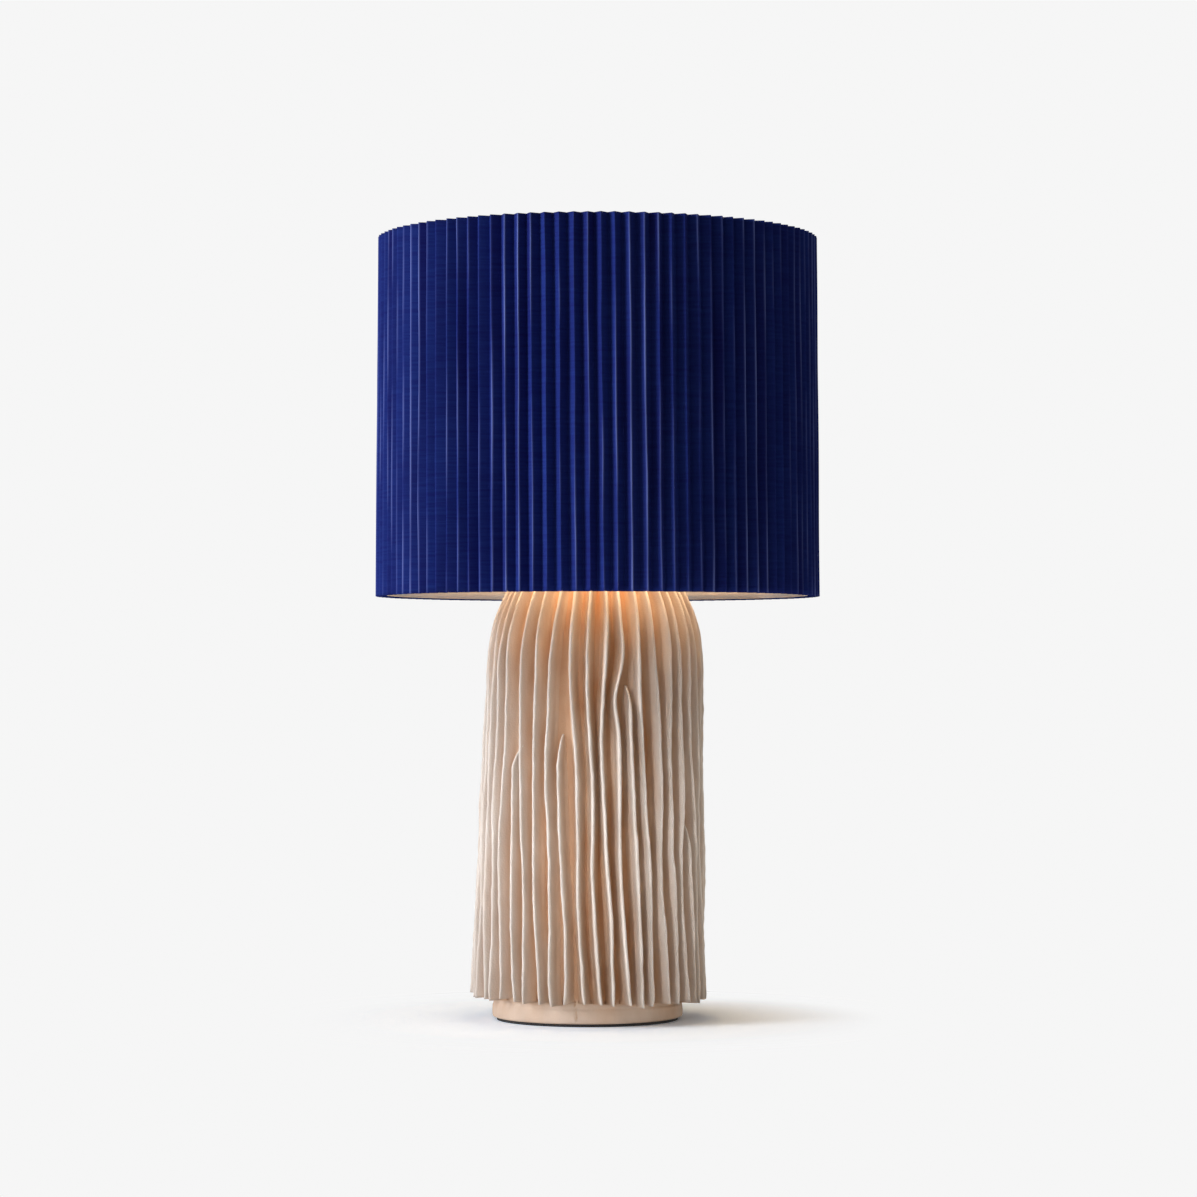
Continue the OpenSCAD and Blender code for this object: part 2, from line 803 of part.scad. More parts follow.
// A ring with its flange at z = 0 and its hub upwards
module shade_ring() {
    grip_r = 2.4;
    grip_depth = 0.9;
    hub_r = clamp_r - 3;
    difference() {
        union() {
            cylinder(h = clamp_flange_t, r = clamp_r);
            cylinder(h = clamp_h, r = hub_r);
        }
        translate([0, 0, -cut]) cylinder(h = clamp_h + 2 * cut, r = holder_r + run_gap);
        for (k = [0 : grip_count - 1])
            rotate(360 * k / grip_count)
                translate([clamp_r + grip_r - grip_depth, 0, -cut])
                    cylinder(h = clamp_flange_t + 2 * cut, r = grip_r);
    }
}

module lower_shade_ring() {
    color("#242426")
        translate([0, 0, collar_z - run_gap]) mirror([0, 0, 1]) shade_ring();
}

module upper_shade_ring() {
    color("#242426")
        translate([0, 0, collar_z + collar_t + run_gap]) shade_ring();
}

module fitting_collar() {
    color("#f1efe9")
        translate([0, 0, collar_z])
            difference() {
                cylinder(h = collar_t, r = collar_r);
                translate([0, 0, -cut]) cylinder(h = collar_t + 2 * cut, r = collar_in_r);
            }
}

// One arm in the XZ plane: a straight wire from the collar's edge down to the bottom ring
module fitting_arm() {
    weld = [collar_r - arm_weld, collar_z + collar_t / 2];
    run = [ring_at(low_ring_up), shade_z + low_ring_up] - weld;
    translate([weld[0], 0, weld[1]])
        rotate([0, atan2(run[0], run[1]), 0]) cylinder(h = norm(run), r = arm_wire_d / 2);
}

module fitting_arms() {
    color("#f1efe9")
        for (k = [0 : arm_count - 1]) rotate(90 + 360 * k / arm_count) fitting_arm();
}

module wire_ring(up) {
    translate([0, 0, shade_z + up])
        rotate_extrude() translate([ring_at(up), 0]) circle(r = ring_wire_r);
}

module bottom_ring() {
    color("#f1efe9") wire_ring(low_ring_up);
}

module top_ring() {
    color("#f1efe9") wire_ring(high_ring_up);
}

// Shade

module shade_liner() {
    low = liner_inset;
    high = shade_h - liner_inset;
    color("#ead9c8")
        translate([0, 0, shade_z])
            rotate_extrude()
                polygon([
                    [liner_at(low) - liner_t, low],
                    [liner_at(low), low],
                    [liner_at(high), high],
                    [liner_at(high) - liner_t, high]
                ]);
}

// Outline of the folded cloth, moved inwards by the given amount
module pleats(inwards) {
    polygon([
        for (k = [0 : 2 * pleat_count - 1])
            let (r = (k % 2 == 0 ? crest_r : valley_r) - inwards, a = 180 * k / pleat_count)
            [r * cos(a), r * sin(a)]
    ]);
}

module pleated_cover() {
    color("#26337e")
        translate([0, 0, shade_z])
            linear_extrude(height = shade_h, twist = pleat_drift, scale = shade_scale, slices = 1)
                difference() {
                    pleats(0);
                    pleats(cloth_radial);
                }
}

// Bulb

tip_h = 1.5;
tip_low_r = 3.6;
tip_high_r = 4.6;
// The insulator's cone ends in a short rim, over which the cap's metal is rolled.
insulator_cone_h = 6;
insulator_h = 7.5;
insulator_r = lamp_root_r - 1.3;

module bulb_tip() {
    color("#a9a398")
        translate([0, 0, bulb_z]) cylinder(h = tip_h, r1 = tip_low_r, r2 = tip_high_r);
}

module bulb_insulator() {
    color("#18181a")
        translate([0, 0, bulb_z])
            rotate_extrude()
                polygon([
                    [0, tip_h],
                    [tip_high_r + 0.4, tip_h],
                    [insulator_r, insulator_cone_h],
                    [insulator_r, insulator_h],
                    [0, insulator_h]
                ]);
}

module bulb_cap() {
    low_r = insulator_r + slip_gap;
    slope = 0.2;
    thread_top = lamp_thread_z + lamp_turns * lamp_pitch;
    color("#bfc2c4")
        rotate_extrude()
            polygon(concat(
                [
                    [low_r, bulb_z + insulator_cone_h],
                    [low_r + lamp_metal_t, bulb_z + insulator_cone_h],
                    [low_r + lamp_metal_t, bulb_z + insulator_h],
                    [lamp_root_r, lamp_thread_z]
                ],
                ridges(lamp_root_r, lamp_r, lamp_pitch, lamp_thread_z, lamp_turns),
                [
                    [lamp_root_r, thread_top],
                    [lamp_root_r, bulb_z + lamp_cap_h],
                    [lamp_root_r - lamp_metal_t, bulb_z + lamp_cap_h],
                    [lamp_root_r - lamp_metal_t, lamp_thread_z + slope],
                    [low_r, bulb_z + insulator_h + slope]
                ]
            ));
}

// Radius of the plastic body, from 0 at the neck to 1 at the globe's edge
flare_power = 1.25;
function body_flare(t) = bulb_neck_r + (body_top_r - bulb_neck_r) * pow(t, flare_power);

module bulb_body() {
    steps = 7;
    rise = body_top_z - bulb_neck_z;
    // The wall thickens where it turns in under the board.
    thicker = 1;
    outside = [for (k = [0 : steps]) [body_flare(k / steps), bulb_neck_z + rise * k / steps]];
    inside = [for (k = [steps : -1 : 0]) [
        body_flare(k / steps) - bulb_wall - thicker,
        bulb_neck_z + (rise - board_t - thicker) * k / steps
    ]];
    spigot_z = bulb_z + lamp_cap_h - spigot_h;
    color("#f2f2f0")
        rotate_extrude()
            polygon(concat(
                [
                    [spigot_r - bulb_wall, spigot_z],
                    [spigot_r, spigot_z],
                    [spigot_r, bulb_z + lamp_cap_h],
                    [bulb_neck_r, bulb_z + lamp_cap_h]
                ],
                outside,
                [[board_r + slip_gap, body_top_z], [board_r + slip_gap, body_top_z - board_t]],
                [[board_r - board_seat, body_top_z - board_t]],
                inside
            ));
}

module led_board() {
    color("#dfe3e6")
        translate([0, 0, body_top_z - board_t]) cylinder(h = board_t, r = board_r);
}

module bulb_globe() {
    color("#fff4dc")
        translate([0, 0, globe_z])
            difference() {
                sphere(r = bulb_r);
                sphere(r = bulb_r - globe_t);
                translate([0, 0, -bulb_r * sin(globe_edge_a) - bulb_d])
                    cylinder(h = bulb_d, r = bulb_d);
            }
}

foot_pad();
ceramic_core();
clay_fins();
bottom_plate();
toothed_washer();
bottom_nut();
through_tube();
cord_bush();
seal_washer();
vase_cap();
cap_nut();
holder_cap();
grub_screw();
holder_sleeve();
holder_core();
screw_shell();
centre_contact();
terminal_screws();
lower_shade_ring();
upper_shade_ring();
fitting_collar();
fitting_arms();
bottom_ring();
top_ring();
shade_liner();
pleated_cover();
bulb_tip();
bulb_insulator();
bulb_cap();
bulb_body();
led_board();
bulb_globe();
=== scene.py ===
import math

import bpy
import numpy as np
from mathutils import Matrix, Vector, noise


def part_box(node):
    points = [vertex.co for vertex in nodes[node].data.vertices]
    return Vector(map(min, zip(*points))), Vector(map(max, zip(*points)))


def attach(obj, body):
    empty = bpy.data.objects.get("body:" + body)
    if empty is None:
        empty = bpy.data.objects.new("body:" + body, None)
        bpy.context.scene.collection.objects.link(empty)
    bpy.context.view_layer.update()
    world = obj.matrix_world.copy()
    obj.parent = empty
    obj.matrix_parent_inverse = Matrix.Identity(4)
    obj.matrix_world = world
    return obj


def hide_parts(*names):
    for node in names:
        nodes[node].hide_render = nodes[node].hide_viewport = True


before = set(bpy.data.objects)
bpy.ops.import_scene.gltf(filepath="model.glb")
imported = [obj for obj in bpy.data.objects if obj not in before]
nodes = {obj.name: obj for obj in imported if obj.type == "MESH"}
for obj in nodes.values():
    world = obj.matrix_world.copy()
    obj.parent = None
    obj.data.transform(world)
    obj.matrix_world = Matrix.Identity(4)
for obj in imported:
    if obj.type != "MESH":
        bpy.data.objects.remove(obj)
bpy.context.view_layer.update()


# Foot pad. A disc of black felt is glued under the foot ring, a little inside its edge,
# and keeps the clay off the table. Its nap shows as a fine soft mottle.

def new_finish(name, colour, roughness, metallic=0.0):
    """A material and its one shader, with the plain values on the shader's own sockets."""
    finish = bpy.data.materials.new(name)
    finish.use_nodes = True
    shader = finish.node_tree.nodes["Principled BSDF"]
    shader.inputs["Base Color"].default_value = (*colour, 1)
    shader.inputs["Roughness"].default_value = roughness
    shader.inputs["Metallic"].default_value = metallic
    return finish, shader


def place_on(finish, stretch=(1, 1, 1)):
    """The socket of a point on the piece, in metres, stretched along the axes."""
    tree = finish.node_tree
    where = tree.nodes.new("ShaderNodeTexCoord")
    scale = tree.nodes.new("ShaderNodeMapping")
    scale.inputs["Scale"].default_value = stretch
    tree.links.new(where.outputs["Object"], scale.inputs["Vector"])
    return scale.outputs["Vector"]


def cloudy(finish, size, detail=4.0, stretch=(1, 1, 1)):
    """The socket of a noise whose clouds are about size metres across."""
    tree = finish.node_tree
    clouds = tree.nodes.new("ShaderNodeTexNoise")
    clouds.inputs["Scale"].default_value = 1 / size
    clouds.inputs["Detail"].default_value = detail
    tree.links.new(place_on(finish, stretch), clouds.inputs["Vector"])
    return clouds.outputs["Fac"]


def ramp(finish, value, stops):
    """The socket of a colour that runs through stops, each (place, colour), as value rises."""
    tree = finish.node_tree
    run = tree.nodes.new("ShaderNodeValToRGB")
    run.color_ramp.elements[0].position = stops[0][0]
    run.color_ramp.elements[-1].position = stops[-1][0]
    for place, _ in stops[1:-1]:
        run.color_ramp.elements.new(place)
    for element, (_, colour) in zip(run.color_ramp.elements, stops):
        element.color = (*colour, 1)
    tree.links.new(value, run.inputs["Fac"])
    return run.outputs["Color"]


def colour_by(finish, shader, socket):
    finish.node_tree.links.new(socket, shader.inputs["Base Color"])


def mottled(name, dark, light, roughness, size, metallic=0.0, stretch=(1, 1, 1)):
    """A finish that drifts between two close tones, in clouds about size metres across."""
    finish, shader = new_finish(name, light, roughness, metallic)
    clouds = cloudy(finish, size, stretch=stretch)
    colour_by(finish, shader, ramp(finish, clouds, [(0.3, dark), (0.7, light)]))
    return finish, shader


def relief(finish, shader, height, depth, under=None):
    """Raises the surface by height times depth metres, over any relief given as under."""
    tree = finish.node_tree
    bump = tree.nodes.new("ShaderNodeBump")
    bump.inputs["Distance"].default_value = depth
    tree.links.new(height, bump.inputs["Height"])
    if under is not None:
        tree.links.new(under, bump.inputs["Normal"])
    tree.links.new(bump.outputs["Normal"], shader.inputs["Normal"])
    return bump.outputs["Normal"]


def dress(finish, *names):
    """Gives CAD nodes a finish."""
    for name in names:
        for place in nodes[name].material_slots:
            place.material = finish


felt, felt_shader = mottled("black_felt", (0.012,) * 3, (0.035,) * 3, 0.95, 0.0012)
relief(felt, felt_shader, cloudy(felt, 0.0006), 0.0004)
dress(felt, "foot_pad")


# Clay body. A pot thrown in coarse sandy clay and left unglazed, with a domed shoulder and a plain
# foot ring. It leans a little, and it dried with a hairline crack across the foot.

MM = 0.001
FULL_TURN = 2 * math.pi
base_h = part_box("ceramic_core")[1].z / MM
body_lean = math.radians(1.2)
foot_x = -base_h * math.tan(body_lean)
foot_r = 64.0
foot_ring_w = 10.0
foot_step_z = 13.0
pad_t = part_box("foot_pad")[1].z / MM
wall_t = 6.0
wall_low_r = 68.5
wall_high_r = 62.0
wall_low_z = 19.5
dome_h = 90.0
dome_t = 8.0
seat_r = 22.0
shoulder_z = base_h - dome_h * math.sqrt(1 - (seat_r / wall_high_r) ** 2)
floor_z = 22.0
cavity_z = 29.0
tube_hole_r = 5.8
tube_seat_r = tube_hole_r + 8
pot_lumps = ((0.35, 22.0, 1), (0.15, 6.0, 2))
bush_r = 4.25
bush_z = 8.5


def wall_r(z):
    """Radius of the clay wall at a height up the leaning body."""
    return wall_low_r + (wall_high_r - wall_low_r) * z / shoulder_z


def lean(points):
    """Tips points of the upright body over to its lean, in place over the foot."""
    x, y, z = points.T
    c, s = math.cos(body_lean), math.sin(body_lean)
    return np.column_stack([x * c + z * s + foot_x, y, z * c - x * s])


def rough(points, size, place):
    """A smooth irregular value from about -1 to 1 at each point, with lumps of the given size."""
    shift = Vector((place * 17.3, place * -5.1, place * 9.7))
    return np.array([noise.noise(Vector(p) / size + shift) for p in points])


def waver(points, waves):
    """The sum of irregular wavers at each point, each given as (height, length, place)."""
    return sum(high * rough(points, size, place) for high, size, place in waves)


def mesh_piece(name, points, faces, finish, body):
    """A new smooth piece from points in millimetres, which rides on a body."""
    mesh = bpy.data.meshes.new(name)
    mesh.from_pydata([tuple(p) for p in np.asarray(points) * MM], [], faces)
    mesh.validate()
    mesh.update()
    mesh.polygons.foreach_set("use_smooth", [True] * len(mesh.polygons))
    mesh.materials.append(finish)
    piece = bpy.data.objects.new(name, mesh)
    bpy.context.scene.collection.objects.link(piece)
    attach(piece, body)
    return piece


def grid_faces(rows, columns, first=0, round_rows=False):
    """Quads between rows of points, closed round the columns, and round the rows where asked."""
    return [
        (
            first + r * columns + c,
            first + r * columns + (c + 1) % columns,
            first + (r + 1) % rows * columns + (c + 1) % columns,
            first + (r + 1) % rows * columns + c,
        )
        for r in range(rows if round_rows else rows - 1)
        for c in range(columns)
    ]


def keep_layer(piece, layer, values):
    """Keeps a value for each point of a piece, which its finish reads by the layer's name."""
    kept = piece.data.attributes.new(layer, "FLOAT", "POINT")
    kept.data.foreach_set("value", np.ravel(values).astype(np.float32))


def read_layer(finish, layer):
    """The socket of a value kept on a piece's points."""
    reader = finish.node_tree.nodes.new("ShaderNodeAttribute")
    reader.attribute_name = layer
    return reader.outputs["Fac"]


def mix(finish, under, over, share=1, how="MULTIPLY"):
    """The socket of one colour laid over another. Each of the three is a socket or a plain value."""
    tree = finish.node_tree
    mixed = tree.nodes.new("ShaderNodeMix")
    mixed.data_type = "RGBA"
    mixed.blend_type = how
    for side, value in (("Factor", share), ("A", under), ("B", over)):
        if isinstance(value, bpy.types.NodeSocket):
            tree.links.new(value, mixed.inputs[side])
        else:
            mixed.inputs[side].default_value = value
    return mixed.outputs["Result"]


# Painted shade: the clay is painted dark and warm deep between the fins, and paler out towards the fins'
# free edges
clay, clay_shader = new_finish("raw_clay", (0.66, 0.52, 0.43), 0.93)
clay_shader.inputs["Specular IOR Level"].default_value = 0.25
out_of_painted_shade = read_layer(clay, "edge")
clay_tone_and_shade = ramp(clay, out_of_painted_shade, [
    (0, (0.49, 0.30, 0.185)),
    (0.25, (0.575, 0.435, 0.33)),
    (0.7, (0.63, 0.53, 0.45)),
    (0.93, (0.61, 0.535, 0.47)),
    (1, (0.60, 0.54, 0.485)),
])
clay_mottle = ramp(
    clay, cloudy(clay, 0.014, 6.0, (1, 1, 0.5)), [(0.3, (0.88, 0.835, 0.80)), (0.65, (1, 1, 1))]
)
clay_stain_and_shade = ramp(
    clay, cloudy(clay, 0.03, 5.0, (1, 1, 0.45)), [(0.42, (1, 1, 1)), (0.62, (0.86, 0.69, 0.54))]
)
# A cloudy warm stain is laid only deep between the fins, where it adds to the painted shade
deep_shade_mask = ramp(clay, out_of_painted_shade, [(0, (1, 1, 1)), (0.8, (0, 0, 0))])
colour_by(clay, clay_shader, mix(clay, mix(clay, clay_tone_and_shade, clay_mottle), clay_stain_and_shade, deep_shade_mask))
clay_drag = relief(clay, clay_shader, cloudy(clay, 0.004, 3.0, (1, 1, 0.3)), 0.0004)
relief(clay, clay_shader, cloudy(clay, 0.0011, 2.0), 0.0002, clay_drag)

# Bearings of the points round the pot, close together at the crack
crack_turn = math.radians(-94)
crack_half_w = 0.35
crack_deep = 0.9
round_steps = 288
at_crack = crack_turn + np.radians(np.arange(-2.4, 2.5, 0.2))
turn = np.arange(round_steps) * FULL_TURN / round_steps
turn = turn[np.abs((turn - crack_turn + math.pi) % FULL_TURN - math.pi) > at_crack[-1] - crack_turn]
turn = np.sort(np.concatenate([turn, at_crack % FULL_TURN]))


def pot_ring(r, z, x=0.0):
    """A level ring of points round the pot."""
    return np.column_stack([r * np.cos(turn) + x, r * np.sin(turn), np.full(len(turn), z)])


# The pot's section as radius and height: up the outside, over the dome, down the tube's hole and
# round the hollow, then level across the floor and down the foot ring
step_side = [
    [foot_r - 1.5, foot_step_z - 0.5],
    [foot_r + 0.6, foot_step_z + 1.2],
    [foot_r + 2.6, foot_step_z + 3.6],
]
wall_side = [[wall_r(z), z] for z in np.linspace(wall_low_z, shoulder_z, 40)]
dome_side = [
    [wall_high_r * math.cos(a), shoulder_z + dome_h * math.sin(a)]
    for a in np.linspace(0, math.acos(seat_r / wall_high_r), 22)[1:]
]
roof_h = dome_h - wall_t
roof_z = base_h - dome_t
roof_side = [
    [(wall_high_r - wall_t) * math.cos(a), shoulder_z + roof_h * math.sin(a)]
    for a in np.linspace(math.asin((roof_z - shoulder_z) / roof_h), 0, 14)
]
hollow_side = [[wall_r(z) - wall_t, z] for z in np.linspace(shoulder_z, cavity_z, 8)[1:]]
leaning_section = (
    step_side + wall_side + dome_side
    + [[tube_seat_r, base_h], [tube_hole_r, base_h], [tube_hole_r, roof_z]]
    + roof_side + hollow_side
    + [[tube_hole_r, cavity_z], [tube_hole_r, floor_z]]
)
foot_section = [
    [foot_r - foot_ring_w, floor_z],
    [foot_r - foot_ring_w, pad_t + 1],
    [foot_r - foot_ring_w + 1, pad_t],
    [foot_r - 1.6, pad_t],
    [foot_r - 0.5, pad_t + 0.4],
    [foot_r, pad_t + 1.5],
    [foot_r, pad_t + 4.5],
    [foot_r - 0.2, pad_t + 8],
    [foot_r - 0.8, foot_step_z - 1.5],
]
pot_rings = []
for r, z in leaning_section:
    ring = pot_ring(r, z)
    plumb = r <= tube_seat_r or z == floor_z
    pot_rings.append(ring if plumb else lean(ring))
pot_rings += [pot_ring(r, z, foot_x) for r, z in foot_section]
body_points = np.concatenate(pot_rings)

# Only the outside is lumpy: the step, the wall, the dome below the seat and the side of the foot
lumpy_dome_rows = 15
lumpy_foot_rows = 4
lumpy = np.zeros(len(pot_rings))
lumpy[: len(step_side) + len(wall_side) + lumpy_dome_rows] = 1
lumpy[-lumpy_foot_rows:] = 1
from_axis = body_points - np.array([foot_x * 0.5, 0, 0])
outward = from_axis * [1, 1, 0] / np.linalg.norm(from_axis[:, :2], axis=1)[:, None]
up_pot = body_points[:, 2]
crack_wander = 0.012 * np.sin(up_pot * 1.3) + 0.004 * up_pot
from_crack = (np.arctan2(body_points[:, 1], body_points[:, 0] - foot_x) - crack_turn + crack_wander) * foot_r
crack = np.exp(-((from_crack / crack_half_w) ** 2))
crack = crack * (up_pot < foot_step_z + 4) * (up_pot > pad_t + 2)
lumps = waver(body_points, pot_lumps) - crack_deep * crack
body_points = body_points + outward * (lumps * np.repeat(lumpy, len(turn)))[:, None]
clay_body = mesh_piece(
    "clay_body", body_points, grid_faces(len(pot_rings), len(turn), round_rows=True), clay, "base"
)
# The wall between the fins takes the darkest painted shade, the foot ring is lifted partly out of it, and
# the crack is painted as dark as the wall
foot_paleness = 0.45
on_foot = np.clip((foot_step_z + 5 - up_pot) / 4, 0, 1)
keep_layer(clay_body, "edge", on_foot * foot_paleness * (1 - crack))

# The hole for the cord bush, bored level through the back of the foot ring
bush_steps = 48
bore_points = [
    (foot_x + bush_r * math.cos(a), y, bush_z + bush_r * math.sin(a))
    for y in (foot_r + 5, foot_r - 15)
    for a in np.linspace(0, FULL_TURN, bush_steps, endpoint=False)
]
bore_ends = [tuple(range(bush_steps - 1, -1, -1)), tuple(range(bush_steps, 2 * bush_steps))]
bore = bpy.data.meshes.new("bush_hole")
bore.from_pydata([tuple(np.array(p) * MM) for p in bore_points], [], grid_faces(2, bush_steps) + bore_ends)
bore_cutter = bpy.data.objects.new("bush_hole", bore)
bpy.context.scene.collection.objects.link(bore_cutter)
bored = clay_body.modifiers.new("bush_hole", "BOOLEAN")
bored.operation = "DIFFERENCE"
bored.solver = "EXACT"
bored.object = bore_cutter
bored_body = clay_body.evaluated_get(bpy.context.evaluated_depsgraph_get())
bored_mesh = bpy.data.meshes.new_from_object(bored_body)
clay_body.modifiers.clear()
clay_body.data = bored_mesh
bpy.data.objects.remove(bore_cutter)
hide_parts("ceramic_core")


# Clay fins. Slabs were rolled out, cut in strips and worked upright on to the wall by hand, so each one
# waves, its free edge is soft, and its lower end is torn. Some stop short and lean on the next.
# Their colour is painted darker towards the root, as painted shade deep between the fins.

fin_count = 48
fin_depth = 11.0
fin_sink = 1.2
fin_low_z = 15.6
fin_ragged = 1.3
fin_end_r = 33.0
fin_end_loss = 0.6
fin_shift = 0.8
fin_sweep = 9.3
fin_sweep_power = 1.5
fin_sweep_top = -2.9
fin_wave = 0.7
fin_wave_len = 190.0
fin_swell = 0.05
fin_swell_len = 120.0
# Wavers of a fin's free edge aside, in and out, and in thickness: height, length and place
fin_ruffle = ((1.1, 45.0, 3), (0.5, 15.0, 4), (0.22, 6.0, 10))
fin_edge_wear = ((0.6, 18.0, 5), (0.35, 5.0, 6))
fin_thickness = ((0.18, 24.0, 7),)
torn_h = 9.0
short_reach = 3
short_close = 120 / fin_count
short_blend = 35.0
short_lean_h = 15.0
short_thin_h = 24.0
# Short fins by index from the front: height of the top end, and how far its free edge leans there
short_fins = {-2: (192, 0.4), 3: (225, -1.5), 8: (137, -5.5), -6: (184, 7.5), 15: (205, -4), -20: (150, 5)}
# Places where a fin was pushed aside: index, height, angle and half height
pushed_fins = [(2, 216, -2.6, 15), (2, 245, 1.0, 14), (-10, 160, 2.5, 18), (19, 120, -2.5, 16)]


def uneven(i, place):
    """A steady irregular value between -1 and 1 for fin i."""
    slow = math.sin(math.radians(i * 137.5 + place * 71))
    quick = math.sin(math.radians(i * 61 + place * 29))
    return 0.6 * slow + 0.4 * quick


def steps_from(place, i):
    """Number of fins from the one at place round to fin i, either way."""
    return (i - place + 1.5 * fin_count) % fin_count - fin_count / 2


def fin_bearing(i, z):
    """Bearing of fin i at heights z, in degrees. The fins close in over the end of a short one."""
    bearing = -90 + 360 * i / fin_count + fin_shift * uneven(i, 1) + fin_sweep_top
    bearing = bearing + fin_sweep * np.maximum(0, 1 - z / shoulder_z) ** fin_sweep_power
    bearing = bearing + fin_wave * np.sin(np.radians(360 * z / fin_wave_len + 180 * uneven(i, 2)))
    for short, (top, _) in short_fins.items():
        n = steps_from(short, i)
        if n != 0 and abs(n) <= short_reach:
            t = np.clip((z - top) / (2 * short_blend) + 0.5, 0, 1)
            near = 1 - (abs(n) - 1) / short_reach
            bearing = bearing - np.sign(n) * short_close * near * t * t * (3 - 2 * t)
    for place, height, angle, half in pushed_fins:
        if steps_from(place, i) == 0:
            bearing = bearing + angle * np.exp(-((z - height) / half) ** 2)
    return bearing


# Section of a fin: share of the way from root to free edge, and half thickness there
fin_side = [
    (0, 4.2), (0.1, 3.4), (0.17, 2.45), (0.27, 1.8), (0.42, 1.42), (0.62, 1.22), (0.8, 1.12),
    (0.91, 1.02), (0.965, 0.78), (0.992, 0.45), (1, 0.15),
]
fin_section = fin_side + [(u, -half) for u, half in reversed(fin_side)]
section_len = len(fin_section)
wall_rows = 110
dome_rows = 20
fin_points = []
fin_faces = []
fin_pale = []
for i in range(fin_count):
    # The fin's root and free edge as radius and height, up the wall and on over the dome
    top, end_lean = next((v for s, v in short_fins.items() if steps_from(s, i) == 0), (None, 0))
    z = np.linspace(fin_low_z + fin_ragged * uneven(i, 3), shoulder_z if top is None else top, wall_rows)
    depth = fin_depth * (1 + fin_swell * np.sin(np.radians(360 / fin_swell_len * z + 180 * uneven(i, 4))))
    root = np.column_stack([wall_r(z) - fin_sink, z])
    tip = np.column_stack([wall_r(z) + depth, z])
    if top is None:
        share = np.linspace(0, 1, dome_rows)[1:]
        a = math.acos(fin_end_r / wall_high_r) * share
        over = depth[-1] * (1 - fin_end_loss * share**2)
        dome_root_r = (wall_high_r - fin_sink) * np.cos(a)
        dome_root_z = shoulder_z + (dome_h - fin_sink) * np.sin(a)
        dome_tip_r = (wall_high_r + over) * np.cos(a)
        dome_tip_z = shoulder_z + (dome_h + over) * np.sin(a)
        root = np.concatenate([root, np.column_stack([dome_root_r, dome_root_z])])
        tip = np.concatenate([tip, np.column_stack([dome_tip_r, dome_tip_z])])
        z = np.concatenate([z, shoulder_z + dome_h * np.sin(a)])
    bearing = np.radians(fin_bearing(i, z))

    # The hand-worked waver of the free edge, a little different on each fin
    along = np.column_stack([np.zeros(len(z)), np.full(len(z), i * 31.7), z])
    lively = 0.75 + 0.5 * uneven(i, 5)
    ruffle = lively * waver(along, fin_ruffle)
    edge_wear = waver(along, fin_edge_wear)
    thick = 1 + waver(along, fin_thickness)
    reach = np.ones(len(z))
    sideways = np.zeros(len(z))
    if top is not None:
        near_end = np.clip((z - (top - short_thin_h)) / short_thin_h, 0, 1)
        reach = 1 - (0.25 if abs(end_lean) > 5 else 0.75) * near_end**2.5
        thick = thick * (1 - 0.4 * near_end**2)
        sideways = end_lean * np.clip((z - (top - short_lean_h)) / short_lean_h, 0, 1) ** 1.6

    # The torn lower end hangs down, flicks out and turns aside, and its lip is thin
    near_foot = np.clip(1 - (z - z[0]) / torn_h, 0, 1)
    torn_down = near_foot * (0.4 + 0.8 * uneven(i, 9))
    torn_out = near_foot**2 * 0.9 * uneven(i, 12)
    torn_aside = 1.2 * near_foot**2 * uneven(i, 11)
    torn_thin = 0.35 * near_foot**4

    first = len(fin_points)
    for k in range(len(z)):
        radial = np.array([math.cos(bearing[k]), math.sin(bearing[k])])
        across = np.array([-radial[1], radial[0]])
        for u, half in fin_section:
            v = u * reach[k]
            r = root[k, 0] + (tip[k, 0] - root[k, 0]) * v + edge_wear[k] * u * u + torn_out[k] * u
            h = root[k, 1] + (tip[k, 1] - root[k, 1]) * v - torn_down[k] * u
            side = half * thick[k] * (1 - torn_thin[k] * (u > 0.2))
            side += (ruffle[k] + torn_aside[k]) * u**1.4 + sideways[k] * u**1.2
            flat = radial * r + across * side
            fin_points.append((flat[0], flat[1], h))
            fin_pale.append(u)
    fin_faces += grid_faces(len(z), section_len, first)
    last = first + (len(z) - 1) * section_len
    for j in range(section_len // 2 - 1):
        back = section_len - 1 - j
        fin_faces.append((first + j, first + back, first + back - 1, first + j + 1))
        fin_faces.append((last + j + 1, last + back - 1, last + back, last + j))
clay_slabs = mesh_piece("clay_slabs", lean(np.array(fin_points)), fin_faces, clay, "base")
# The layer runs from 0 at the root to 1 at the free edge, and the clay's colour reads it as painted shade
keep_layer(clay_slabs, "edge", fin_pale)
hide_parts("clay_fins")


# Steel and brass under the clay floor and on the dome. A plate, a toothed washer and a nut clamp the
# through tube at the foot. A soft washer, a spun vase cap and a second nut hold it on the dome.

def metal_finish(name, dark, light, roughness):
    """Plated or turned metal with a faint cloudy tarnish and fine scratches."""
    finish, shader = mottled(name, dark, light, roughness, 0.004, metallic=1.0)
    relief(finish, shader, cloudy(finish, 0.0008, 2.0, (1, 1, 6)), 0.00003)
    return finish


zinc = metal_finish("zinc_steel", (0.42, 0.43, 0.44), (0.6, 0.61, 0.62), 0.38)
brass = metal_finish("satin_brass", (0.5, 0.36, 0.16), (0.74, 0.57, 0.3), 0.32)
dress(zinc, "bottom_plate", "toothed_washer")
dress(brass, "bottom_nut", "through_tube", "vase_cap", "cap_nut")


# Rubber pieces. The cord bush is pushed through the back of the foot ring from outside, and a soft
# washer lies between the dome and the vase cap.

rubber, rubber_shader = mottled("black_rubber", (0.016,) * 3, (0.03,) * 3, 0.72, 0.003)
relief(rubber, rubber_shader, cloudy(rubber, 0.0005), 0.0001)
dress(rubber, "cord_bush", "seal_washer")


# Lampholder and shade rings. Black moulded plastic, with a porcelain core that carries the live parts.
# The two rings run on the sleeve's outside thread and clamp the shade's collar between them.

